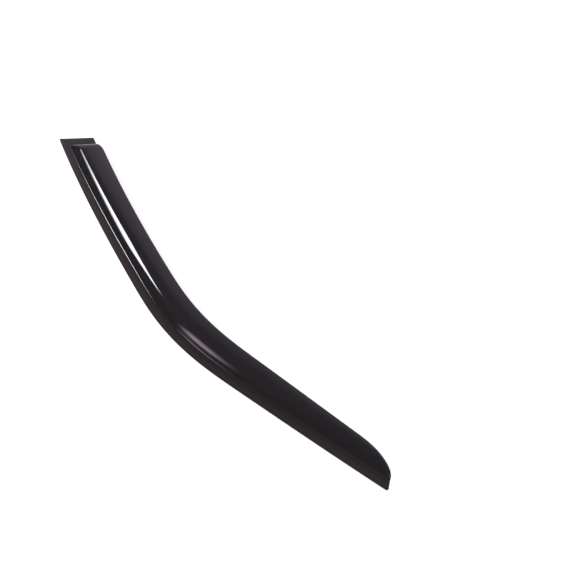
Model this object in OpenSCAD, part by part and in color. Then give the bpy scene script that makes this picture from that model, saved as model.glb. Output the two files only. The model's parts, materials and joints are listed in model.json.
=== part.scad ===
// Rain deflector for the window of a left front door: one moulded shell on two strips of mounting tape.
// It lies on its tape with its outer face up. X runs from the rear end to the nose, along the chord.
// Y points from the mounting flange to the free edge, and Z points away from the door.

/* [Run along the door] */
// Length of the flange edge along the roof rail
roof_run = 407; // [300:1:520]
// Length of the flange edge that bends down to the pillar
bend_run = 260; // [180:1:360]
// Length of the flange edge down the pillar, to the tip
pillar_run = 228; // [160:1:320]
// Bow of the roof run, in degrees
roof_bow = 5; // [0:0.1:9]
// Where the roof run bows: 1 is evenly, and more is nearer its rear end
roof_bow_shape = 1.2; // [1:0.1:2]
// Turn of the bend, in degrees
bend_angle = 22.2; // [8:0.1:34]
// Bow of the pillar run, in degrees
pillar_bow = 1.3; // [0:0.1:4]

/* [Width over flange and visor] */
// Width at the rear end
rear_width = 68.5; // [58:0.5:85]
// Share of the run that the width loses at the rear end
rear_taper = 0.031; // [0:0.001:0.04]
// Width where the bend starts
waist_width = 57; // [50:0.1:75]
// Share of the run that the width loses where the bend starts
waist_taper = 0.016; // [0:0.001:0.04]
// Width where the nose starts to round off
nose_width = 37.1; // [33:0.1:50]
// Share of the run that the width loses where the nose starts
nose_taper = 0.067; // [0.02:0.001:0.1]

/* [Cross-section] */
// Wall thickness of the moulding
wall = 2.6; // [2:0.1:3.4]
// Width of the flat mounting flange
flange_w = 12.5; // [10:0.1:16]
// Width and depth of the soft edge round the flanges
edge_soft = 0.4; // [0.2:0.1:0.8]
// Radius of the hollow at the foot of the step
foot_r = 3; // [1.5:0.1:5]
// Slope of the step, in degrees
step_angle = 45; // [35:1:60]
// Height of the step, from the flange to the end of the shoulder
step_h = 10.5; // [8:0.1:14]
// Radius of the shoulder over the step
shoulder_r = 22; // [8:0.5:26]
// Slope of the visor where the shoulder ends, in degrees
crown_angle = 15; // [6:0.5:20]
// Radius of the rolled free edge
lip_r = 4.5; // [3.8:0.1:6]
// How far the free edge rolls over, in degrees
lip_angle = 40; // [25:1:75]

/* [Rear end and nose] */
// Angle between the rear end and a square cut, in degrees
rear_angle = 24.2; // [0:0.1:32]
// Width of the flat end flange
end_flange = 20; // [15:0.5:28]
// How far the end flange stops short of the free edge
end_setback = 7; // [2:0.1:12]
// Length over which the rear corner of the free edge rounds off
corner_run = 38; // [24:1:60]
// Slope of the closed rear end, in degrees
end_angle = 38; // [30:1:50]
// Length over which the closed rear end rises to the full height
end_rise_run = 42; // [34:1:60]
// How crisply the closed rear end turns into the visor
end_crispness = 6; // [2:0.1:8]
// Share of its height by which the visor dips towards the closed rear end
end_dip = 0.58; // [0:0.01:0.7]
// Length over which the visor dips
end_dip_run = 30; // [22:1:34]
// Radius of the corners of the flanges, seen from above
flange_corner_r = 2.5; // [1:0.1:3]
// Length of the rounded nose
nose_len = 57; // [30:1:70]
// How full the nose is: 2 is an ellipse
nose_fullness = 2.1; // [1.6:0.1:3]
// Length of the flat tab ahead of the nose
tip_tab = 3.6; // [2:0.1:6]

/* [Mounting tape] */
// Width of the tape
tape_w = 8; // [5:0.5:9]
// Thickness of the foam tape
tape_t = 1; // [0.6:0.1:1.6]
// Thickness of the release liner
liner_t = 0.1; // [0.1:0.05:0.2]
// Distance from the flange edge to the tape
tape_inset = 2; // [1:0.1:2.5]
// Gap between the long strip and the strip on the end flange
tape_gap = 1.5; // [0.5:0.1:4]

/* [Hidden] */

// Levels: the liner lies on the ground, the tape on the liner, the flange on the tape
tape_z = liner_t;
base_z = liner_t + tape_t;
flange_z = base_z + wall;

// How finely each stretch is divided
foot_steps = 4;
riser_steps = 2;
shoulder_steps = 6;
crown_steps = 5;
lip_steps = 6;
end_steps = 21;
end_spacing = 1.3;
corner_steps = 4;
corner_spacing = 1.5;
roof_steps = 15;
bend_steps = 22;
pillar_steps = 13;
nose_steps = 16;
tape_steps = 44;
spine_step = 3;

// Curves that start and end level, or only start level
function clamp(x) = min(max(x, 0), 1);
function ease(x) = let (c = clamp(x)) c * c * (3 - 2 * c);
function ease_in(x) = pow(clamp(x), 2);
function mix(a, b, x) = a + (b - a) * x;
function unit(v) = v / norm(v);

// A smooth span from width a to width b over a length, with the taper at each end
function span(a, taper_a, b, taper_b, length, x) =
    a * (1 + 2 * x) * pow(1 - x, 2) + b * x * x * (3 - 2 * x)
    - length * (taper_a * x * pow(1 - x, 2) - taper_b * x * x * (1 - x));

// The flange edge seen from above, as a path that turns with the run
run = roof_run + bend_run + pillar_run;
function heading(s) =
    roof_bow * (1 - pow(1 - clamp(s / roof_run), roof_bow_shape))
    + bend_angle * ease((s - roof_run) / bend_run)
    + pillar_bow * ease_in((s - roof_run - bend_run) / pillar_run);
spine_count = ceil(run / spine_step);
spine_ds = run / spine_count;
spine = [
    for (i = 0, p = [0, 0]; i <= spine_count;
        p = p + spine_ds * [cos(heading((i + 0.5) * spine_ds)), sin(heading((i + 0.5) * spine_ds))],
        i = i + 1) p
];
spine_x = [for (i = [0:spine_count]) [i * spine_ds, spine[i][0]]];
spine_y = [for (i = [0:spine_count]) [i * spine_ds, spine[i][1]]];

// The plan point at s along the flange edge and t square to it, towards the free edge
function place(s, t) = let (h = heading(s))
    [lookup(s, spine_x) - t * sin(h), lookup(s, spine_y) + t * cos(h)];

// Width over flange and visor along the run, before the nose rounds it off
nose_end = run - tip_tab;
nose_start = nose_end - nose_len;
function full_width(s) =
    s < roof_run ? span(rear_width, rear_taper, waist_width, waist_taper, roof_run, s / roof_run)
    : s < nose_start ? span(waist_width, waist_taper, nose_width, nose_taper, nose_start - roof_run,
        (s - roof_run) / (nose_start - roof_run))
    : nose_width - nose_taper * (s - nose_start);
function nose_share(s) = sqrt(1 - pow(clamp((s - nose_start) / nose_len), nose_fullness));

// Stations near the rear lean along the slanted end, and those at the tip follow its rounded cut
lean_end = end_flange + corner_run;
lean_fade = 160;
function rear_lean(s) = tan(rear_angle) * (1 - ease((s - lean_end) / lean_fade));
function tip_cut(s) = tip_tab * ease((s - nose_start) / (run - nose_start));
function rear_distance(s) = s * cos(rear_angle);
function free_edge_s(s) = s + rear_width * rear_lean(s) - tip_cut(s);
function width_at(s) = let (b = free_edge_s(s), full = full_width(b))
    flange_w + (full - flange_w - end_setback * (1 - ease((rear_distance(s) - end_flange) / corner_run)))
    * nose_share(s - tip_cut(s));

// Cross-section of the outer face as tangent arcs, from the flange to the end of the shoulder
foot_x = foot_r * sin(step_angle);
foot_z = foot_r * (1 - cos(step_angle));
least_riser = 0.5;
shoulder_limit = (step_h - foot_z - least_riser) / (cos(crown_angle) - cos(step_angle));
shoulder = min(shoulder_r, shoulder_limit);
shoulder_x = shoulder * (sin(step_angle) - sin(crown_angle));
shoulder_z = shoulder * (cos(crown_angle) - cos(step_angle));
riser_z = step_h - foot_z - shoulder_z;
riser_x = riser_z / tan(step_angle);
step_x = foot_x + riser_x + shoulder_x;
lip_x = lip_r * sin(lip_angle);
least_crown = 2;
function crown_run(body) = max(body - step_x - lip_x, least_crown);
function crown_rise(c) = c * tan(crown_angle / 2);

// Outer face of a visor body of the given width, as distances past the flange and heights over it.
// A body that is too narrow for the whole section gets a smaller copy of it.
function body_scale(body) = body / (step_x + lip_x + crown_run(body));
function foot_arc() = [for (i = [0:foot_steps]) let (a = step_angle * i / foot_steps)
    [foot_r * sin(a), foot_r * (1 - cos(a))]];
function riser_line() = [for (i = [1:riser_steps]) let (x = i / riser_steps)
    [foot_x + riser_x * x, foot_z + riser_z * x]];
function shoulder_arc() = [for (i = [1:shoulder_steps])
    let (a = mix(step_angle, crown_angle, i / shoulder_steps))
    [foot_x + riser_x + shoulder * (sin(step_angle) - sin(a)),
        foot_z + riser_z + shoulder * (cos(a) - cos(step_angle))]];
function crown_arc(c) = [for (i = [1:crown_steps])
    let (a = crown_angle * (1 - i / crown_steps), r = c / sin(crown_angle))
    [step_x + c - r * sin(a), step_h + r * (cos(a) - cos(crown_angle))]];
function lip_arc(c) = [for (i = [1:lip_steps]) let (a = lip_angle * i / lip_steps)
    [step_x + c + lip_r * sin(a), step_h + crown_rise(c) - lip_r * (1 - cos(a))]];
step_points = concat(foot_arc(), riser_line(), shoulder_arc());
function body_points(body) = let (c = crown_run(body), k = body_scale(body))
    [for (p = concat(step_points, crown_arc(c), lip_arc(c))) k * p];

// Height that the closed rear end allows at a distance past the end flange. It climbs at its own
// slope and runs off without limit. It meets the dipping visor in a soft crest.
end_foot_x = foot_r * sin(end_angle);
end_foot_z = foot_r * (1 - cos(end_angle));
function end_climb(x) = x < end_foot_x ? foot_r - sqrt(foot_r * foot_r - x * x)
    : end_foot_z + (x - end_foot_x) * tan(end_angle);
function end_height(x) = end_climb(x) / (1 - pow(x / end_rise_run, 2));
function crest(a, b) =
    a * b / pow(pow(a, end_crispness) + pow(b, end_crispness), 1 / end_crispness);
function dipped(a, x) = a * (1 - end_dip * pow(1 - clamp(x / end_dip_run), 2));
function closed_height(a, s) = let (x = rear_distance(s) - end_flange)
    x >= end_rise_run ? a : x <= 0 || a <= 0 ? 0 : crest(dipped(a, x), end_height(x));

// How far the rounded corners of the flanges set an edge back
function corner_cut(d) = d >= flange_corner_r ? 0
    : flange_corner_r - sqrt(pow(flange_corner_r, 2) - pow(flange_corner_r - d, 2));

// Stations along the run, closer together where the surface turns
end_distances = concat(
    [0],
    [for (i = [0:corner_steps]) mix(edge_soft, flange_corner_r, pow(i / corner_steps, corner_spacing))],
    [for (i = [0:foot_steps]) end_flange + foot_r * sin(end_angle * i / foot_steps)],
    [for (i = [1:end_steps]) end_flange + mix(end_foot_x, end_rise_run, pow(i / end_steps, end_spacing))]
);
rear_stations = [for (d = end_distances) d / cos(rear_angle)];
step_end = rear_stations[len(rear_stations) - 1];
bend_end = roof_run + bend_run;
stations = concat(
    rear_stations,
    [for (i = [1:roof_steps]) mix(step_end, roof_run, i / roof_steps)],
    [for (i = [1:bend_steps]) mix(roof_run, bend_end, i / bend_steps)],
    [for (i = [1:pillar_steps]) mix(bend_end, nose_start, i / pillar_steps)],
    [for (i = [1:nose_steps]) mix(nose_start, run, sin(90 * i / nose_steps))]
);
last_row = len(stations) - 1;

// Outer face before it is turned along the chord: one row a station, one column a section point.
// The soft edge lowers the flange's edge column, both end rows and the end flange's last column.
function flange_points(cut) = [[cut - flange_w, -edge_soft], [cut + edge_soft - flange_w, 0]];
flange_column = len(flange_points(0));
function row_at(s) =
    let (body = body_points(width_at(s) - flange_w - corner_cut(rear_distance(s))),
        last = len(body) - 1, end_row = s == 0 || s == run,
        low_body = [for (i = [0:last]) let (z = closed_height(body[i][1], s))
            [body[i][0], z - (i == last && s < run ? edge_soft * (1 - z / body[i][1]) : 0)]])
    [for (p = concat(flange_points(corner_cut(min(rear_distance(s), run - s))), low_body))
        let (t = flange_w + p[0], along = s + t * rear_lean(s) - tip_cut(s) * ease_in(t / flange_w))
        concat(place(along, t), [flange_z + (end_row ? -edge_soft : p[1])])];
raw_face = [for (s = stations) row_at(s)];
last_column = len(raw_face[0]) - 1;

// Turned so that the chord lies along X, and centred on the box round the part
chord = place(run, 0) - place(0, 0);
turn = -atan2(chord[1], chord[0]);
function turned(p) = [p[0] * cos(turn) - p[1] * sin(turn), p[0] * sin(turn) + p[1] * cos(turn)];
turned_plan = [for (row = raw_face) for (p = row) turned(p)];
plan_x = [for (p = turned_plan) p[0]];
plan_y = [for (p = turned_plan) p[1]];
centre = [(min(plan_x) + max(plan_x)) / 2, (min(plan_y) + max(plan_y)) / 2];
function to_part(p) = turned(p) - centre;
outer_face = [for (row = raw_face) [for (p = row) concat(to_part(p), [p[2]])]];

// Inner face, one wall below the outer one. The last of the nose is solid, where the body is too
// small to be hollow.
solid_below = 0.3;
hollow_above = 0.6;
function hollow_share(s) =
    ease((body_scale(width_at(s) - flange_w) - solid_below) / (hollow_above - solid_below));
function normal_at(i, j) =
    unit(cross(
        outer_face[min(i + 1, last_row)][j] - outer_face[i - 1][j],
        outer_face[i][min(j + 1, last_column)] - outer_face[i][j - 1]));
function below(p) = [p[0], p[1], base_z];
function inner_point(i, j) = let (p = outer_face[i][j])
    p[2] <= flange_z || i == last_row ? below(p)
    : mix(below(p), p - wall * normal_at(i, j), hollow_share(stations[i]));
inner_face = [for (i = [0:last_row]) [for (j = [0:last_column]) inner_point(i, j)]];

// The visor body runs out in one point at the tip, so the last row keeps only the flange's columns
columns = last_column + 1;
last_columns = flange_column + 1;
function flat_rows(face) = concat(
    [for (i = [0:last_row - 1]) for (p = face[i]) p],
    [for (j = [0:flange_column]) face[last_row][j]]);
face_size = last_row * columns + last_columns;
function index(i, j, side) =
    side * face_size + i * columns + (i == last_row ? min(j, flange_column) : j);
function triangle(a, b, c) = a == b || b == c || a == c ? [] : [[a, b, c]];
function quad(a, b, c, d) = concat(triangle(a, b, c), triangle(a, c, d));
outer_facets = [for (i = [0:last_row - 1]) for (j = [0:last_column - 1])
    each quad(index(i, j, 0), index(i, j + 1, 0), index(i + 1, j + 1, 0), index(i + 1, j, 0))];
inner_facets = [for (i = [0:last_row - 1]) for (j = [0:last_column - 1])
    each quad(index(i, j, 1), index(i + 1, j, 1), index(i + 1, j + 1, 1), index(i, j + 1, 1))];
flange_edge_facets = [for (i = [0:last_row - 1])
    each quad(index(i, 0, 0), index(i + 1, 0, 0), index(i + 1, 0, 1), index(i, 0, 1))];
free_edge_facets = [for (i = [0:last_row - 1])
    each quad(index(i, last_column, 0), index(i, last_column, 1),
        index(i + 1, last_column, 1), index(i + 1, last_column, 0))];
rear_facets = [for (j = [0:last_column - 1])
    each quad(index(0, j, 0), index(0, j, 1), index(0, j + 1, 1), index(0, j + 1, 0))];
tip_facets = [for (j = [0:flange_column - 1])
    each quad(index(last_row, j, 0), index(last_row, j + 1, 0),
        index(last_row, j + 1, 1), index(last_row, j, 1))];

module visor_shell() {
    color([0.13, 0.11, 0.12])
        polyhedron(
            points = concat(flat_rows(outer_face), flat_rows(inner_face)),
            faces = concat(outer_facets, inner_facets, flange_edge_facets, free_edge_facets,
                rear_facets, tip_facets),
            convexity = 8);
}

// Tape outlines seen from above, set in from the edges of the flanges
function from_rear(d, t) = let (s = d / cos(rear_angle)) place(s + t * rear_lean(s), t);
tape_end = nose_end - tape_inset;
tape_outer = tape_inset;
tape_inner = tape_inset + tape_w;
end_width = width_at(0);
function tape_edge(t) = concat(
    [from_rear(tape_inset, t)],
    [for (i = [1:tape_steps]) place(mix(lean_end, tape_end, i / tape_steps), t)]);
function reversed(list) = [for (i = [len(list) - 1:-1:0]) list[i]];
side_outline = concat(tape_edge(tape_outer), reversed(tape_edge(tape_inner)));
end_outline = [
    from_rear(tape_inset, tape_inner + tape_gap),
    from_rear(tape_inset + tape_w, tape_inner + tape_gap),
    from_rear(tape_inset + tape_w, end_width - tape_inset),
    from_rear(tape_inset, end_width - tape_inset)
];

module strip(outline, z, thickness) {
    translate([0, 0, z])
        linear_extrude(thickness)
            polygon([for (p = outline) to_part(p)]);
}

module side_tape() {
    color([0.23, 0.23, 0.25])
        strip(side_outline, tape_z, tape_t);
}

module end_tape() {
    color([0.23, 0.23, 0.25])
        strip(end_outline, tape_z, tape_t);
}

module side_liner() {
    color([0.72, 0.1, 0.12])
        strip(side_outline, 0, liner_t);
}

module end_liner() {
    color([0.72, 0.1, 0.12])
        strip(end_outline, 0, liner_t);
}

visor_shell();
side_tape();
end_tape();
side_liner();
end_liner();
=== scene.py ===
import json
import math

import bpy
import numpy as np
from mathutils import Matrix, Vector
from mathutils.geometry import convex_hull_2d

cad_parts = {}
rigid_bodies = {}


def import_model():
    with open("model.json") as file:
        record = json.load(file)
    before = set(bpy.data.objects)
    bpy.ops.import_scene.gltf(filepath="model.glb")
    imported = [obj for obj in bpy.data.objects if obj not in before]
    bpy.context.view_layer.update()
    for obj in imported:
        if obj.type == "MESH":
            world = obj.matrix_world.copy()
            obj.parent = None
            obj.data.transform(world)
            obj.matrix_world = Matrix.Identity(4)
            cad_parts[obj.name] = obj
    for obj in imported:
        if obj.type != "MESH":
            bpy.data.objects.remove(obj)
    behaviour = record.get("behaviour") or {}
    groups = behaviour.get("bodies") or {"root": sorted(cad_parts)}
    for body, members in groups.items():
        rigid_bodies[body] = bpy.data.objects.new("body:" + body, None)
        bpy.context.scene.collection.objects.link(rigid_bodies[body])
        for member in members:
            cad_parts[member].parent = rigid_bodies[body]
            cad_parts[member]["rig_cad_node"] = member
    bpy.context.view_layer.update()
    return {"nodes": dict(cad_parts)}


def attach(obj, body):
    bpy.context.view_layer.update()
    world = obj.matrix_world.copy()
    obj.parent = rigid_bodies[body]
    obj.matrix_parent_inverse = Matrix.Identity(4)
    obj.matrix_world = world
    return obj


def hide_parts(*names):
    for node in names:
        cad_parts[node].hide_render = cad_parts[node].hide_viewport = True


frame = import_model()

mmPerMetre = 1000


# small helpers that every stage uses
def selectOnly(*pieces):
    bpy.ops.object.select_all(action="DESELECT")
    for piece in pieces:
        piece.select_set(True)
    bpy.context.view_layer.objects.active = pieces[-1]


def newMaterial(name):
    material = bpy.data.materials.new(name)
    material.use_nodes = True
    material.node_tree.nodes.clear()
    return material, material.node_tree


def addNode(tree, kind, place=(0, 0), **settings):
    node = tree.nodes.new(kind)
    node.location = place
    for name, value in settings.items():
        setattr(node, name, value)
    return node


def feed(tree, socket, value):
    # a number or a colour is set on the socket, and anything else is linked to it
    if isinstance(value, (int, float)):
        socket.default_value = value
    elif isinstance(value, tuple):
        socket.default_value = (*value, 1) if len(socket.default_value) == 4 else value
    else:
        tree.links.new(value, socket)


def calculate(tree, operation, first, second=0.0, place=(0, 0), clamp=False):
    node = addNode(tree, "ShaderNodeMath", place, operation=operation, use_clamp=clamp)
    feed(tree, node.inputs[0], first)
    feed(tree, node.inputs[1], second)
    return node.outputs[0]


def ramp(tree, value, fromLow, fromHigh, toLow=0.0, toHigh=1.0, place=(0, 0)):
    node = addNode(tree, "ShaderNodeMapRange", place, interpolation_type="SMOOTHSTEP")
    for name, amount in (("Value", value), ("From Min", fromLow), ("From Max", fromHigh),
                         ("To Min", toLow), ("To Max", toHigh)):
        feed(tree, node.inputs[name], amount)
    return node.outputs[0]


def blendColours(tree, factor, first, second, place=(0, 0)):
    # a mix node takes its two colours at sockets 6 and 7, and gives the blend at 2
    node = addNode(tree, "ShaderNodeMix", place, data_type="RGBA")
    feed(tree, node.inputs[0], factor)
    feed(tree, node.inputs[6], first)
    feed(tree, node.inputs[7], second)
    return node.outputs[2]


def addGlow(tree, kind, colour, strength, place):
    # light of one colour, from a material's emission or a world's background
    glow = addNode(tree, kind, place)
    feed(tree, glow.inputs["Color"], colour)
    feed(tree, glow.inputs["Strength"], strength)
    return glow.outputs[0]


def joinShaders(tree, kind, values, place):
    # two shaders to add, or a factor and the two shaders that it mixes
    node = addNode(tree, kind, place)
    for socket, value in zip(node.inputs, values):
        feed(tree, socket, value)
    return node.outputs[0]


def dress(piece, material):
    piece.data.materials.clear()
    piece.data.materials.append(material)


# the camera stands where the photograph was taken from, in the part's own frame
viewpoint = {
    "position": (0.52478, -0.21183, 0.66789),
    "lookDown": 52.157,  # degrees under the horizon
    "heading": 50.0579,  # degrees from +Y towards -X
    "lens": 34.336,
    "sensorWidth": 36.0,
    "shiftX": -0.5 / 576,  # half a pixel of the photograph's frame
    "shiftY": 0.5 / 576,
    "clipFrom": 0.01,
}
bpy.ops.object.camera_add(
    location=viewpoint["position"],
    rotation=(math.radians(90 - viewpoint["lookDown"]), 0, math.radians(viewpoint["heading"])))
camera = bpy.context.object
camera.name = "viewCamera"
camera.data.sensor_width = viewpoint["sensorWidth"]
camera.data.lens = viewpoint["lens"]
camera.data.shift_x = viewpoint["shiftX"]
camera.data.shift_y = viewpoint["shiftY"]
camera.data.clip_start = viewpoint["clipFrom"]
bpy.context.scene.camera = camera
print("camera placed")

# the visor: the moulded shell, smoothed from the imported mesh
visorShape = {
    "mergeWithin": 0.000004,
    "flatWithin": 50.0,  # two triangles this close to one plane become one face
    "cornersWithin": 180.0,  # whatever the corners of that face are
    "sharpFrom": 36.0,  # edges that turn more than this stay crisp
    "smoothLevels": 2,
    "shadeWithin": 34.0,
    "chordSlack": 0.5,  # mm that the flange edge may stand past the chord
    "rearReach": 60.0,  # mm from the rearmost point in which the rear end lies
}


def smoothVisor():
    selectOnly(frame["nodes"]["visor_shell"])
    bpy.ops.object.duplicate()
    visor = bpy.context.object
    visor.name = "smoked_visor"
    del visor["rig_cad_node"]
    visor.parent = None
    bpy.ops.mesh.customdata_custom_splitnormals_clear()
    bpy.ops.object.mode_set(mode="EDIT")
    bpy.ops.mesh.select_mode(type="VERT")
    bpy.ops.mesh.select_all(action="SELECT")
    bpy.ops.mesh.remove_doubles(threshold=visorShape["mergeWithin"])
    bpy.ops.mesh.tris_convert_to_quads(
        face_threshold=math.radians(visorShape["flatWithin"]),
        shape_threshold=math.radians(visorShape["cornersWithin"]))
    bpy.ops.mesh.select_mode(type="EDGE")
    bpy.ops.mesh.select_all(action="DESELECT")
    bpy.ops.mesh.edges_select_sharp(sharpness=math.radians(visorShape["sharpFrom"]))
    bpy.ops.transform.edge_crease(value=1)
    bpy.ops.object.mode_set(mode="OBJECT")
    bpy.ops.object.modifier_add(type="SUBSURF")
    smoothing = visor.modifiers[-1]
    smoothing.levels = smoothing.render_levels = visorShape["smoothLevels"]
    bpy.ops.object.modifier_apply(modifier=smoothing.name)
    bpy.ops.object.shade_smooth_by_angle(angle=math.radians(visorShape["shadeWithin"]))
    return visor


def distanceToPath(points, path):
    nearest = np.full(len(points), np.inf)
    for start, end in zip(path[:-1], path[1:]):
        step = end - start
        along = np.clip((points - start) @ step / (step @ step), 0, 1)
        apart = np.linalg.norm(points - start - along[:, None] * step, axis=1)
        nearest = np.minimum(nearest, apart)
    return nearest


def keepValue(piece, name, values):
    attribute = piece.data.attributes.new(name, "FLOAT", "POINT")
    attribute.data.foreach_set("value", values.astype(np.float32))


def measureVisor(visor):
    # how far each point lies from the flange edge and from the rear end, in mm, seen from above
    points = np.empty(len(visor.data.vertices) * 3)
    visor.data.vertices.foreach_get("co", points)
    plan = points.reshape(-1, 3)[:, :2] * mmPerMetre
    ring = plan[convex_hull_2d([tuple(point) for point in plan])]
    rearmost, tip = ring[ring[:, 0].argmin()], ring[ring[:, 0].argmax()]
    chord = (tip - rearmost) / np.linalg.norm(tip - rearmost)
    pastChord = (ring - rearmost) @ np.array([-chord[1], chord[0]])
    edge = ring[pastChord < visorShape["chordSlack"]]
    edge = edge[edge[:, 0].argsort()]
    # the straight rear end is the long side of the outline near the rearmost point
    following = np.roll(ring, -1, axis=0)
    sides = np.linalg.norm(following - ring, axis=1)
    furthest = np.maximum(ring[:, 0], following[:, 0])
    sides[furthest > rearmost[0] + visorShape["rearReach"]] = 0
    start, end = ring[sides.argmax()], following[sides.argmax()]
    across = (end - start) / np.linalg.norm(end - start)
    across *= np.sign(across[1])
    keepValue(visor, "fromFlangeEdge", distanceToPath(plan, edge))
    keepValue(visor, "fromRearEnd", (plan - start) @ np.array([across[1], -across[0]]))
    print("rear end:", start.round(2), end.round(2))


visor = smoothVisor()
measureVisor(visor)
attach(visor, "root")
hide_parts("visor_shell")
print("visor smoothed:", len(visor.data.polygons), "faces")


# one effect for all three finishes: soft, uneven variation over the surface, and fine specks
softNoise = {
    "detail": 5.0,
    "roughness": 0.55,
    "nothingUpTo": 0.3,
    "wholeFrom": 0.7,
    "speckScale": 23.0,  # how many times finer the specks are
}


def makeSoftVariation():
    group = bpy.data.node_groups.new("softVariation", "ShaderNodeTree")
    for name, side in (("Scale", "INPUT"), ("Stretch", "INPUT"),
                       ("Variation", "OUTPUT"), ("Specks", "OUTPUT")):
        group.interface.new_socket(name, in_out=side, socket_type="NodeSocketFloat")
    inside = addNode(group, "NodeGroupInput", (-900, 0))
    outside = addNode(group, "NodeGroupOutput", (500, 0))
    coordinates = addNode(group, "ShaderNodeTexCoord", (-900, 300))
    stretch = addNode(group, "ShaderNodeCombineXYZ", (-700, 100))
    group.links.new(inside.outputs["Stretch"], stretch.inputs["X"])
    stretch.inputs["Y"].default_value = stretch.inputs["Z"].default_value = 1
    mapped = addNode(group, "ShaderNodeVectorMath", (-500, 250), operation="MULTIPLY")
    group.links.new(coordinates.outputs["Object"], mapped.inputs[0])
    group.links.new(stretch.outputs[0], mapped.inputs[1])
    broad = addNode(group, "ShaderNodeTexNoise", (-250, 250))
    broad.inputs["Detail"].default_value = softNoise["detail"]
    broad.inputs["Roughness"].default_value = softNoise["roughness"]
    group.links.new(mapped.outputs[0], broad.inputs["Vector"])
    group.links.new(inside.outputs["Scale"], broad.inputs["Scale"])
    finer = calculate(group, "MULTIPLY", inside.outputs["Scale"], softNoise["speckScale"],
                      (-450, -150))
    specks = addNode(group, "ShaderNodeTexVoronoi", (-250, -150))
    group.links.new(mapped.outputs[0], specks.inputs["Vector"])
    group.links.new(finer, specks.inputs["Scale"])
    spread = ramp(group, broad.outputs[0], softNoise["nothingUpTo"], softNoise["wholeFrom"],
                  place=(0, 250))
    group.links.new(spread, outside.inputs["Variation"])
    group.links.new(specks.outputs["Distance"], outside.inputs["Specks"])
    return group


softVariation = makeSoftVariation()


def vary(tree, scale, stretch=1.0):
    # a stretch under 1 draws the variation out along the length of the part
    node = addNode(tree, "ShaderNodeGroup", (-900, -300), node_tree=softVariation)
    node.inputs["Scale"].default_value = scale
    node.inputs["Stretch"].default_value = stretch
    return node.outputs


def startFinish(name):
    material, tree = newMaterial(name)
    output = addNode(tree, "ShaderNodeOutputMaterial", (900, 0))
    shader = addNode(tree, "ShaderNodeBsdfPrincipled", (600, 0))
    tree.links.new(shader.outputs[0], output.inputs[0])
    return material, tree, shader


def addRelief(tree, shader, height, strength, depth):
    relief = addNode(tree, "ShaderNodeBump", (300, -250))
    relief.inputs["Strength"].default_value = strength
    relief.inputs["Distance"].default_value = depth
    feed(tree, relief.inputs["Height"], height)
    tree.links.new(relief.outputs[0], shader.inputs["Normal"])


# smoked acrylic: deep brown-black gloss, with the tape showing faintly through the flanges;
# painted shade darkens the flanges beside the tape, and painted light brightens the thin outer
# edge and the tape stripe near it
acrylicLook = {
    "smoke": (0.0154, 0.0145, 0.0152),
    "smokeLighter": (0.0181, 0.0168, 0.0177),
    "shadeBesideTape": (0.0031, 0.0034, 0.0012),  # the flanges beside the tape, darker: painted shade
    "edge": (0.0065, 0.0028, 0.0),  # light through the thin outer edge, warmer
    "tapeThroughEdgeLit": (0.0170, 0.0104, 0.0062),
    "edgeTo": 1.9,  # mm from the flange edge or the rear end, as are all down to flangeSoft
    "tapeFrom": 2.0,
    "tapeTo": 10.0,
    "tapeSoft": 0.35,
    "tapeFade": 6.5,  # the stripe over the tape fades out over this width: painted light that enters at the outer edge, lightest there
    "endTapeFrom": 11.15,  # here the end tape's stripe starts, and there it is whole
    "endTapeWhole": 11.85,
    "flangeTo": 12.6,
    "endFlangeTo": 20.0,
    "flangeSoft": 0.5,  # to either side of edgeTo, flangeTo and endFlangeTo
    "grain": 9.0,
    "grainStretch": 0.35,
    "polish": 0.035,
    "smear": 0.075,
    "ior": 1.49,
    "waviness": 0.012,
    "waveDepth": 0.001,  # m
}


def stripe(tree, distance, start, end, place):
    look = acrylicLook
    rising = ramp(tree, distance, start - look["tapeSoft"], start + look["tapeSoft"], place=place)
    falling = ramp(tree, distance, end - look["tapeFade"], end + look["tapeSoft"], 1.0, 0.0,
                   (place[0], place[1] - 180))
    return calculate(tree, "MULTIPLY", rising, falling, (place[0] + 180, place[1]))


def upTo(tree, distance, end, place):
    soft = acrylicLook["flangeSoft"]
    return ramp(tree, distance, end - soft, end + soft, 1.0, 0.0, place)


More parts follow.
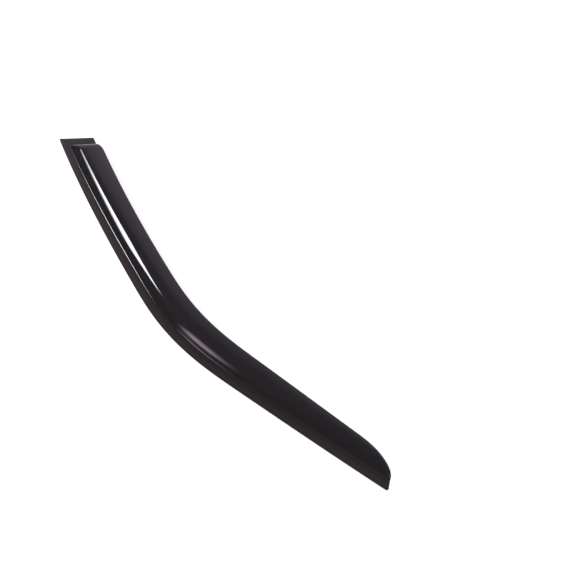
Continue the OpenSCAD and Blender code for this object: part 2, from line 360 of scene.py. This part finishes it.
def makeSmokedAcrylic():
    look = acrylicLook
    material, tree, shader = startFinish("smokedAcrylic")
    shader.inputs["IOR"].default_value = look["ior"]
    variation = vary(tree, look["grain"], look["grainStretch"])["Variation"]
    fromEdge, fromRear = (
        addNode(tree, "ShaderNodeAttribute", (-1300, height), attribute_name=name).outputs["Fac"]
        for name, height in (("fromFlangeEdge", 500), ("fromRearEnd", 300)))

    # the side tape's stripe starts near the rear end, and the end tape's past the side tape
    alongEdge = stripe(tree, fromEdge, look["tapeFrom"], look["tapeTo"], (-1000, 700))
    pastCorner = ramp(tree, fromRear, look["tapeFrom"] - look["tapeSoft"],
                      look["tapeFrom"] + look["tapeSoft"], place=(-1000, 900))
    alongEdge = calculate(tree, "MULTIPLY", alongEdge, pastCorner, (-600, 800))
    acrossEnd = stripe(tree, fromRear, look["tapeFrom"], look["tapeTo"], (-1000, 300))
    pastSide = ramp(tree, fromEdge, look["endTapeFrom"], look["endTapeWhole"], place=(-1000, 100))
    acrossEnd = calculate(tree, "MULTIPLY", acrossEnd, pastSide, (-600, 300))
    # the tape seen through the acrylic, with painted light from the outer edge that fades inwards
    # across it
    tapeAndEdgeLight = calculate(tree, "MAXIMUM", alongEdge, acrossEnd, (-400, 600))

    onFlange = upTo(tree, fromEdge, look["flangeTo"], (-600, 100))
    onEnd = upTo(tree, fromRear, look["endFlangeTo"], (-600, -80))
    flat = calculate(tree, "MAXIMUM", onFlange, onEnd, (-400, 0))
    atEdge = upTo(tree, fromEdge, look["edgeTo"], (-400, -200))
    colour = blendColours(tree, variation, look["smoke"], look["smokeLighter"], (-400, 300))
    # layered over the smoke: painted shade on the flanges beside the tape, painted light at the
    # thin outer edge, then the tape stripe with its painted edge light
    for mask, over, across in ((flat, "shadeBesideTape", -100), (atEdge, "edge", 80),
                               (tapeAndEdgeLight, "tapeThroughEdgeLit", 250)):
        colour = blendColours(tree, mask, colour, look[over], (across, 300))
    feed(tree, shader.inputs["Base Color"], colour)
    feed(tree, shader.inputs["Roughness"],
         ramp(tree, variation, 0.0, 1.0, look["polish"], look["smear"], (0, -100)))
    addRelief(tree, shader, variation, look["waviness"], look["waveDepth"])
    return material


# foam mounting tape: dark grey, with fine closed cells
foamLook = {
    "dark": (0.030, 0.030, 0.034),
    "light": (0.062, 0.062, 0.068),
    "roughness": 0.85,
    "cells": 90.0,
    "cellRelief": 0.6,
    "cellDepth": 0.0002,  # m
}


def makeFoamTape():
    material, tree, shader = startFinish("foamTape")
    shader.inputs["Roughness"].default_value = foamLook["roughness"]
    surface = vary(tree, foamLook["cells"])
    shade = calculate(tree, "MULTIPLY", surface["Variation"], surface["Specks"], (-400, 0), True)
    feed(tree, shader.inputs["Base Color"],
         blendColours(tree, shade, foamLook["dark"], foamLook["light"], (0, 200)))
    addRelief(tree, shader, surface["Specks"], foamLook["cellRelief"], foamLook["cellDepth"])
    return material


# release film: thin, smooth red film with faint streaks along its length
filmLook = {
    "red": (0.52, 0.020, 0.028),
    "paler": (0.62, 0.045, 0.050),
    "roughLow": 0.28,
    "roughHigh": 0.42,
    "ior": 1.5,
    "streaks": 60.0,
    "streakStretch": 0.12,
    "streakRelief": 0.08,
    "streakDepth": 0.0003,  # m
}


def makeReleaseFilm():
    look = filmLook
    material, tree, shader = startFinish("releaseFilm")
    shader.inputs["IOR"].default_value = look["ior"]
    variation = vary(tree, look["streaks"], look["streakStretch"])["Variation"]
    feed(tree, shader.inputs["Base Color"],
         blendColours(tree, variation, look["red"], look["paler"], (0, 200)))
    feed(tree, shader.inputs["Roughness"],
         ramp(tree, variation, 0.0, 1.0, look["roughLow"], look["roughHigh"], (0, -100)))
    addRelief(tree, shader, variation, look["streakRelief"], look["streakDepth"])
    return material


dress(visor, makeSmokedAcrylic())
foamTape = makeFoamTape()
releaseFilm = makeReleaseFilm()
for name in ("side_tape", "end_tape"):
    dress(frame["nodes"][name], foamTape)
for name in ("side_liner", "end_liner"):
    dress(frame["nodes"][name], releaseFilm)
print("finishes made")

# the studio: a white floor, a dim room with one bright wall, and three light panels
studio = {
    "floorSize": 14.0,
    "floorDrop": 0.0003,
    "floorWhite": (0.36, 0.36, 0.36),
    "floorLift": 0.84,  # what camera, glossy and transmission rays see it give off
    "white": (1.0, 1.0, 1.0),
    "roomTint": (1.08, 1.0, 1.10),
    "dimLow": 0.012,  # the whole room at the horizon, and higher up
    "dimHigh": 0.098,
    "dimRise": 86.0,
    "wallTint": (1.16, 1.0, 1.25),
    "wallLow": 0.457,  # what the bright wall adds at the horizon, and higher up
    "wallHigh": 0.743,
    "wallRise": 88.0,
    "wallEdge": 184.33,  # the azimuth where the wall ends, mirrored along the roof run
    "wallEdgeSoft": 0.109,  # the sine of the angle over which it starts there
    "wallEdgeLight": 0.481,  # how bright the wall is beside that edge
    "wallFullFrom": 0.055,  # between these two sines it rises to its full light
    "wallFullTo": 0.362,
    "wallTopFrom": 43.8,  # between these two rises it gets darker again
    "wallTopTo": 66.5,
    "wallTopShare": 0.502,
}
# each light panel hangs at a distance from its aim, its corners given as azimuth and rise,
# and fades out at two sides, foot and top, over shares of its width and height
panels = {
    "tallPanel": {
        "aim": (-0.2, 0.0, 0.0), "distance": 1.62,
        "corners": ((180.2, 24.2), (215.2, 21.6), (193.8, 45.4), (216.3, 48.8)),
        "strength": 23.0, "colour": (1.0, 1.0, 1.04),
        "fades": (0.12, 0.08, 0.46, 0.10)},
    "violetPanel": {
        "aim": (0.13, -0.05, 0.0), "distance": 1.4,
        "corners": ((235.6, 10.7), (266.4, 21.6), (225.6, 49.1), (259.0, 49.1)),
        "strength": 4.3, "colour": (1.24, 1.0, 1.20),
        "fades": (0.40, 0.46, 0.20, 0.63)},
    # a broad, even light from behind the camera, which no visible face mirrors
    "fillPanel": {
        "aim": (0.0, 0.0, 0.0), "distance": 2.5,
        "corners": ((300.0, 12.0), (355.0, 12.0), (300.0, 46.0), (355.0, 46.0)),
        "strength": 5.0, "colour": (1.0, 1.0, 1.0),
        "fades": (0.2, 0.2, 0.2, 0.2)},
}


def directionTo(azimuth, rise):
    turn, climb = math.radians(azimuth), math.radians(rise)
    level = math.cos(climb)
    return Vector((level * math.cos(turn), level * math.sin(turn), math.sin(climb)))


def anyRay(tree, rays, kinds, place):
    # 1 for rays of any of these kinds
    seen = rays.outputs[kinds[0]]
    for number, kind in enumerate(kinds[1:]):
        seen = calculate(tree, "MAXIMUM", seen, rays.outputs[kind],
                         (place[0] + 150 * number, place[1]))
    return seen


def makeFloor():
    bpy.ops.object.select_all(action="DESELECT")
    bpy.ops.mesh.primitive_plane_add(size=studio["floorSize"],
                                     location=(0, 0, -studio["floorDrop"]))
    floor = bpy.context.object
    floor.name = "studioFloor"
    material, tree = newMaterial("floorWhite")
    output = addNode(tree, "ShaderNodeOutputMaterial", (900, 0))
    paper = addNode(tree, "ShaderNodeBsdfDiffuse", (0, 0))
    paper.inputs["Color"].default_value = (*studio["floorWhite"], 1)
    rays = addNode(tree, "ShaderNodeLightPath", (-750, -200))
    seen = anyRay(tree, rays, ("Is Camera Ray", "Is Glossy Ray", "Is Transmission Ray"),
                  (-550, -200))
    lift = calculate(tree, "MULTIPLY", seen, studio["floorLift"], (-200, -200))
    glow = addGlow(tree, "ShaderNodeEmission", studio["white"], lift, (0, -200))
    both = joinShaders(tree, "ShaderNodeAddShader", (paper.outputs[0], glow), (250, 0))
    # from below the floor isn't seen
    under = addNode(tree, "ShaderNodeBsdfTransparent", (250, -250))
    facing = addNode(tree, "ShaderNodeNewGeometry", (250, 300))
    sides = joinShaders(tree, "ShaderNodeMixShader",
                        (facing.outputs["Backfacing"], both, under.outputs[0]), (600, 0))
    tree.links.new(sides, output.inputs[0])
    floor.data.materials.append(material)


def makeRoom():
    world = bpy.data.worlds.new("studioRoom")
    bpy.context.scene.world = world
    world.use_nodes = True
    tree = world.node_tree
    tree.nodes.clear()
    output = addNode(tree, "ShaderNodeOutputWorld", (900, 0))
    coordinates = addNode(tree, "ShaderNodeTexCoord", (-1300, 0))
    turned = addNode(tree, "ShaderNodeVectorRotate", (-1100, 0), rotation_type="Z_AXIS")
    tree.links.new(coordinates.outputs["Generated"], turned.inputs["Vector"])
    turned.inputs["Angle"].default_value = -math.radians(studio["wallEdge"])
    parts = addNode(tree, "ShaderNodeSeparateXYZ", (-900, 0))
    tree.links.new(turned.outputs[0], parts.inputs[0])
    rise = calculate(tree, "ARCSINE", parts.outputs["Z"], place=(-700, 150))
    inward = calculate(tree, "MULTIPLY", parts.outputs["Y"], -1.0, (-700, -200))

    dim = ramp(tree, rise, 0.0, math.radians(studio["dimRise"]),
               studio["dimLow"], studio["dimHigh"], (-400, 200))
    wall = ramp(tree, rise, 0.0, math.radians(studio["wallRise"]),
                studio["wallLow"], studio["wallHigh"], (-400, 0))
    edge = ramp(tree, inward, 0.0, studio["wallEdgeSoft"], place=(-400, -200))
    along = ramp(tree, inward, studio["wallFullFrom"], studio["wallFullTo"],
                 studio["wallEdgeLight"], 1.0, (-400, -400))
    top = ramp(tree, rise, math.radians(studio["wallTopFrom"]), math.radians(studio["wallTopTo"]),
               1.0, studio["wallTopShare"], (-400, -600))
    for number, share in enumerate((edge, along, top)):
        wall = calculate(tree, "MULTIPLY", wall, share, (-200, -100 - 200 * number))

    dimLight = addGlow(tree, "ShaderNodeBackground", studio["roomTint"], dim, (0, 200))
    wallLight = addGlow(tree, "ShaderNodeBackground", studio["wallTint"], wall, (0, 0))
    light = joinShaders(tree, "ShaderNodeAddShader", (dimLight, wallLight), (200, 0))
    backdrop = addGlow(tree, "ShaderNodeBackground", studio["white"], 1.0, (200, -200))
    rays = addNode(tree, "ShaderNodeLightPath", (200, 300))
    seen = anyRay(tree, rays, ("Is Camera Ray", "Is Transmission Ray"), (400, 300))
    choice = joinShaders(tree, "ShaderNodeMixShader", (seen, light, backdrop), (600, 0))
    tree.links.new(choice, output.inputs[0])


def hangPanel(name, panel):
    bpy.ops.object.select_all(action="DESELECT")
    bpy.ops.mesh.primitive_plane_add()
    sheet = bpy.context.object
    sheet.name = name
    for vertex, (azimuth, rise) in zip(sheet.data.vertices, panel["corners"]):
        vertex.co = Vector(panel["aim"]) + directionTo(azimuth, rise) * panel["distance"]
    material, tree = newMaterial(name + "Light")
    output = addNode(tree, "ShaderNodeOutputMaterial", (900, 0))
    places = addNode(tree, "ShaderNodeUVMap", (-900, 0), uv_map="UVMap")
    parts = addNode(tree, "ShaderNodeSeparateXYZ", (-700, 0))
    tree.links.new(places.outputs[0], parts.inputs[0])
    # the fades go by side: the first across, the far one, the foot and the top
    strength = panel["strength"]
    for number, fade in enumerate(panel["fades"]):
        place = (-500 + 200 * number, -200)
        along = parts.outputs[number // 2]
        if number % 2:
            along = calculate(tree, "SUBTRACT", 1.0, along, (place[0], -400))
        faded = ramp(tree, along, 0.0, fade, place=place)
        strength = calculate(tree, "MULTIPLY", faded, strength, (place[0], 0))
    glow = addGlow(tree, "ShaderNodeEmission", panel["colour"], strength, (600, 0))
    tree.links.new(glow, output.inputs[0])
    sheet.data.materials.append(material)
    sheet.visible_camera = False


makeFloor()
makeRoom()
for name, panel in panels.items():
    hangPanel(name, panel)
scene = bpy.context.scene
scene.view_settings.view_transform = "Standard"
print("studio lit")
